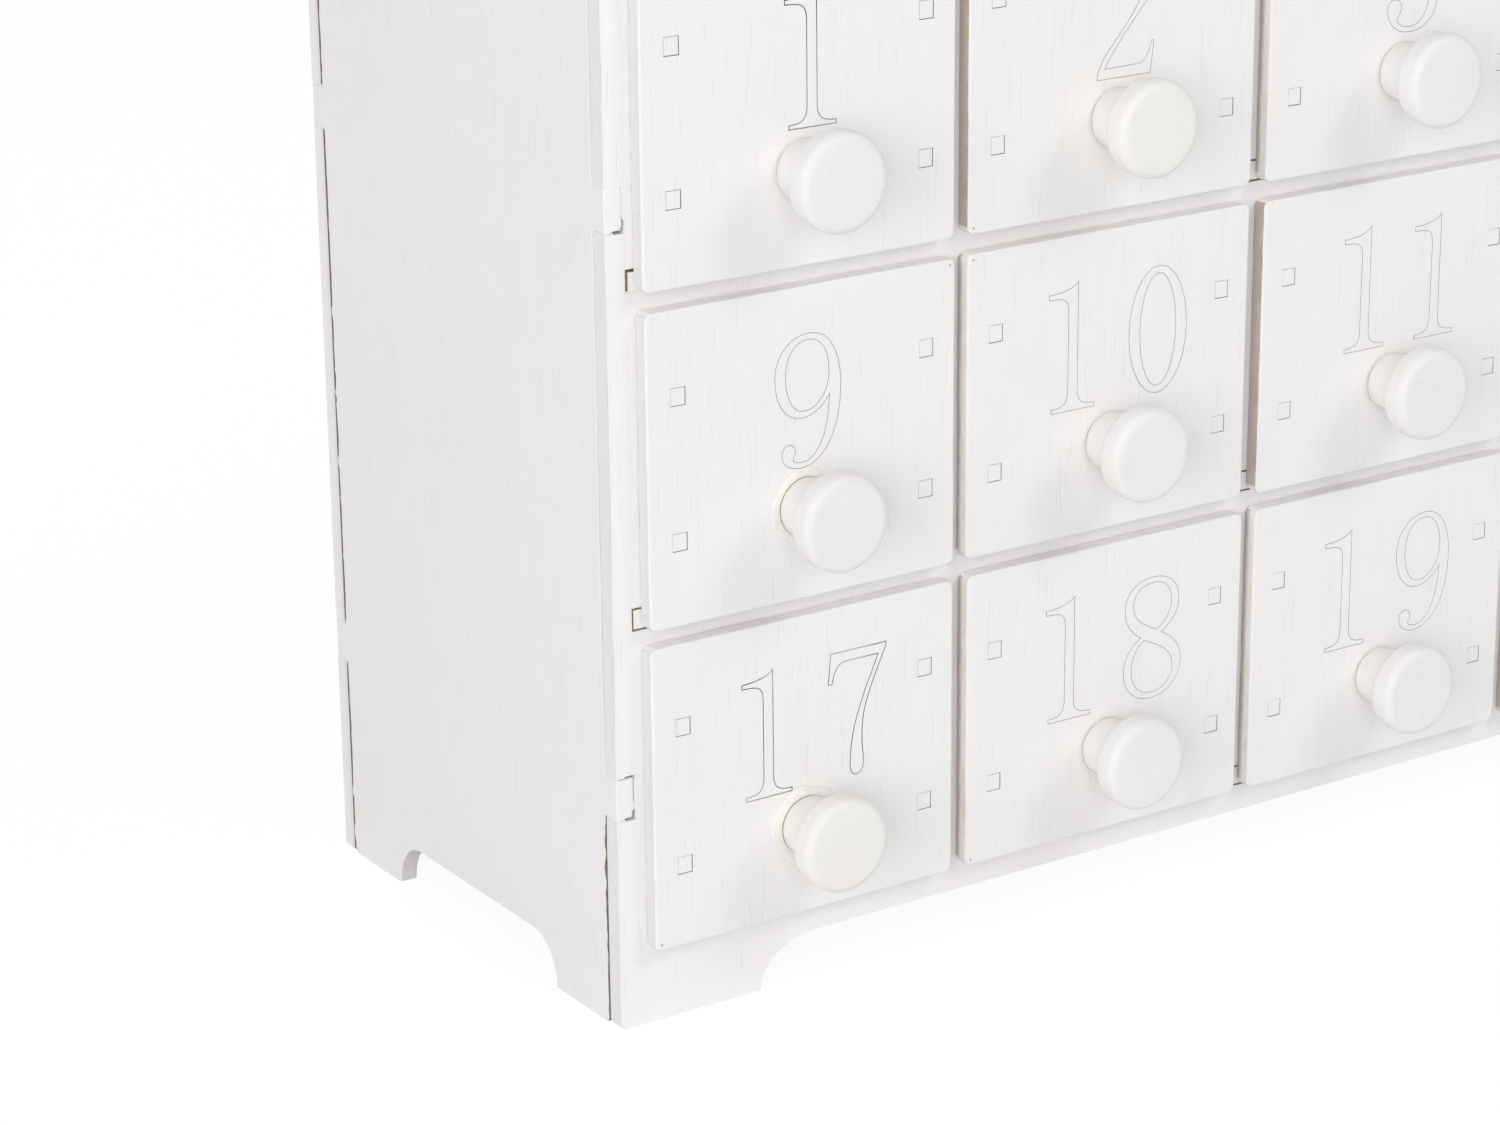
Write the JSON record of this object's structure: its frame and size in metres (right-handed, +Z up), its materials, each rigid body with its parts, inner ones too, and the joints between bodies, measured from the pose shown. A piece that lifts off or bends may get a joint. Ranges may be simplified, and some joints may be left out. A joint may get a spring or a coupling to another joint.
{
  "type": "advent calendar",
  "caption": "White painted plywood cabinet of small numbered drawers with turned knobs, on curved bracket feet.",
  "frame": {"origin": "middle of the footprint, on the surface that the feet stand on", "axes": "+X along the front to the right, -Y towards the drawers, +Z up"},
  "size_m": [0.47, 0.102, 0.1682],
  "materials": {
    "case_paint": "matte white paint",
    "inner_plywood": "bare plywood",
    "drawer_paint": "matte white paint",
    "knob_paint": "satin off-white paint"
  },
  "bodies": {
    "case": {"face_frame": "case_paint", "left_side_panel": "case_paint", "right_side_panel": "case_paint", "back_panel": "case_paint", "top_panel": "case_paint", "bottom_with_dividers": "inner_plywood", "lower_shelf": "inner_plywood", "upper_shelf": "inner_plywood"},
    "drawer_01": {"drawer_01_box": "drawer_paint", "drawer_01_knob": "knob_paint"},
    "drawer_02": {"drawer_02_box": "drawer_paint", "drawer_02_knob": "knob_paint"},
    "drawer_03": {"drawer_03_box": "drawer_paint", "drawer_03_knob": "knob_paint"},
    "drawer_04": {"drawer_04_box": "drawer_paint", "drawer_04_knob": "knob_paint"},
    "drawer_05": {"drawer_05_box": "drawer_paint", "drawer_05_knob": "knob_paint"},
    "drawer_06": {"drawer_06_box": "drawer_paint", "drawer_06_knob": "knob_paint"},
    "drawer_07": {"drawer_07_box": "drawer_paint", "drawer_07_knob": "knob_paint"},
    "drawer_08": {"drawer_08_box": "drawer_paint", "drawer_08_knob": "knob_paint"},
    "drawer_09": {"drawer_09_box": "drawer_paint", "drawer_09_knob": "knob_paint"},
    "drawer_10": {"drawer_10_box": "drawer_paint", "drawer_10_knob": "knob_paint"},
    "drawer_11": {"drawer_11_box": "drawer_paint", "drawer_11_knob": "knob_paint"},
    "drawer_12": {"drawer_12_box": "drawer_paint", "drawer_12_knob": "knob_paint"},
    "drawer_13": {"drawer_13_box": "drawer_paint", "drawer_13_knob": "knob_paint"},
    "drawer_14": {"drawer_14_box": "drawer_paint", "drawer_14_knob": "knob_paint"},
    "drawer_15": {"drawer_15_box": "drawer_paint", "drawer_15_knob": "knob_paint"},
    "drawer_16": {"drawer_16_box": "drawer_paint", "drawer_16_knob": "knob_paint"},
    "drawer_17": {"drawer_17_box": "drawer_paint", "drawer_17_knob": "knob_paint"},
    "drawer_18": {"drawer_18_box": "drawer_paint", "drawer_18_knob": "knob_paint"},
    "drawer_19": {"drawer_19_box": "drawer_paint", "drawer_19_knob": "knob_paint"},
    "drawer_20": {"drawer_20_box": "drawer_paint", "drawer_20_knob": "knob_paint"},
    "drawer_21": {"drawer_21_box": "drawer_paint", "drawer_21_knob": "knob_paint"},
    "drawer_22": {"drawer_22_box": "drawer_paint", "drawer_22_knob": "knob_paint"},
    "drawer_23": {"drawer_23_box": "drawer_paint", "drawer_23_knob": "knob_paint"},
    "drawer_24": {"drawer_24_box": "drawer_paint", "drawer_24_knob": "knob_paint"}
  },
  "joints": [
    {"name": "drawer_01_slide", "type": "slide", "parent": "case", "child": "drawer_01", "axis": [0, -1, 0], "range_m": [0, 0.06]},
    {"name": "drawer_02_slide", "type": "slide", "parent": "case", "child": "drawer_02", "axis": [0, -1, 0], "range_m": [0, 0.06]},
    {"name": "drawer_03_slide", "type": "slide", "parent": "case", "child": "drawer_03", "axis": [0, -1, 0], "range_m": [0, 0.06]},
    {"name": "drawer_04_slide", "type": "slide", "parent": "case", "child": "drawer_04", "axis": [0, -1, 0], "range_m": [0, 0.06]},
    {"name": "drawer_05_slide", "type": "slide", "parent": "case", "child": "drawer_05", "axis": [0, -1, 0], "range_m": [0, 0.06]},
    {"name": "drawer_06_slide", "type": "slide", "parent": "case", "child": "drawer_06", "axis": [0, -1, 0], "range_m": [0, 0.06]},
    {"name": "drawer_07_slide", "type": "slide", "parent": "case", "child": "drawer_07", "axis": [0, -1, 0], "range_m": [0, 0.06]},
    {"name": "drawer_08_slide", "type": "slide", "parent": "case", "child": "drawer_08", "axis": [0, -1, 0], "range_m": [0, 0.06]},
    {"name": "drawer_09_slide", "type": "slide", "parent": "case", "child": "drawer_09", "axis": [0, -1, 0], "range_m": [0, 0.06]},
    {"name": "drawer_10_slide", "type": "slide", "parent": "case", "child": "drawer_10", "axis": [0, -1, 0], "range_m": [0, 0.06]},
    {"name": "drawer_11_slide", "type": "slide", "parent": "case", "child": "drawer_11", "axis": [0, -1, 0], "range_m": [0, 0.06]},
    {"name": "drawer_12_slide", "type": "slide", "parent": "case", "child": "drawer_12", "axis": [0, -1, 0], "range_m": [0, 0.06]},
    {"name": "drawer_13_slide", "type": "slide", "parent": "case", "child": "drawer_13", "axis": [0, -1, 0], "range_m": [0, 0.06]},
    {"name": "drawer_14_slide", "type": "slide", "parent": "case", "child": "drawer_14", "axis": [0, -1, 0], "range_m": [0, 0.06]},
    {"name": "drawer_15_slide", "type": "slide", "parent": "case", "child": "drawer_15", "axis": [0, -1, 0], "range_m": [0, 0.06]},
    {"name": "drawer_16_slide", "type": "slide", "parent": "case", "child": "drawer_16", "axis": [0, -1, 0], "range_m": [0, 0.06]},
    {"name": "drawer_17_slide", "type": "slide", "parent": "case", "child": "drawer_17", "axis": [0, -1, 0], "range_m": [0, 0.06]},
    {"name": "drawer_18_slide", "type": "slide", "parent": "case", "child": "drawer_18", "axis": [0, -1, 0], "range_m": [0, 0.06]},
    {"name": "drawer_19_slide", "type": "slide", "parent": "case", "child": "drawer_19", "axis": [0, -1, 0], "range_m": [0, 0.06]},
    {"name": "drawer_20_slide", "type": "slide", "parent": "case", "child": "drawer_20", "axis": [0, -1, 0], "range_m": [0, 0.06]},
    {"name": "drawer_21_slide", "type": "slide", "parent": "case", "child": "drawer_21", "axis": [0, -1, 0], "range_m": [0, 0.06]},
    {"name": "drawer_22_slide", "type": "slide", "parent": "case", "child": "drawer_22", "axis": [0, -1, 0], "range_m": [0, 0.06]},
    {"name": "drawer_23_slide", "type": "slide", "parent": "case", "child": "drawer_23", "axis": [0, -1, 0], "range_m": [0, 0.06]},
    {"name": "drawer_24_slide", "type": "slide", "parent": "case", "child": "drawer_24", "axis": [0, -1, 0], "range_m": [0, 0.06]}
  ]
}
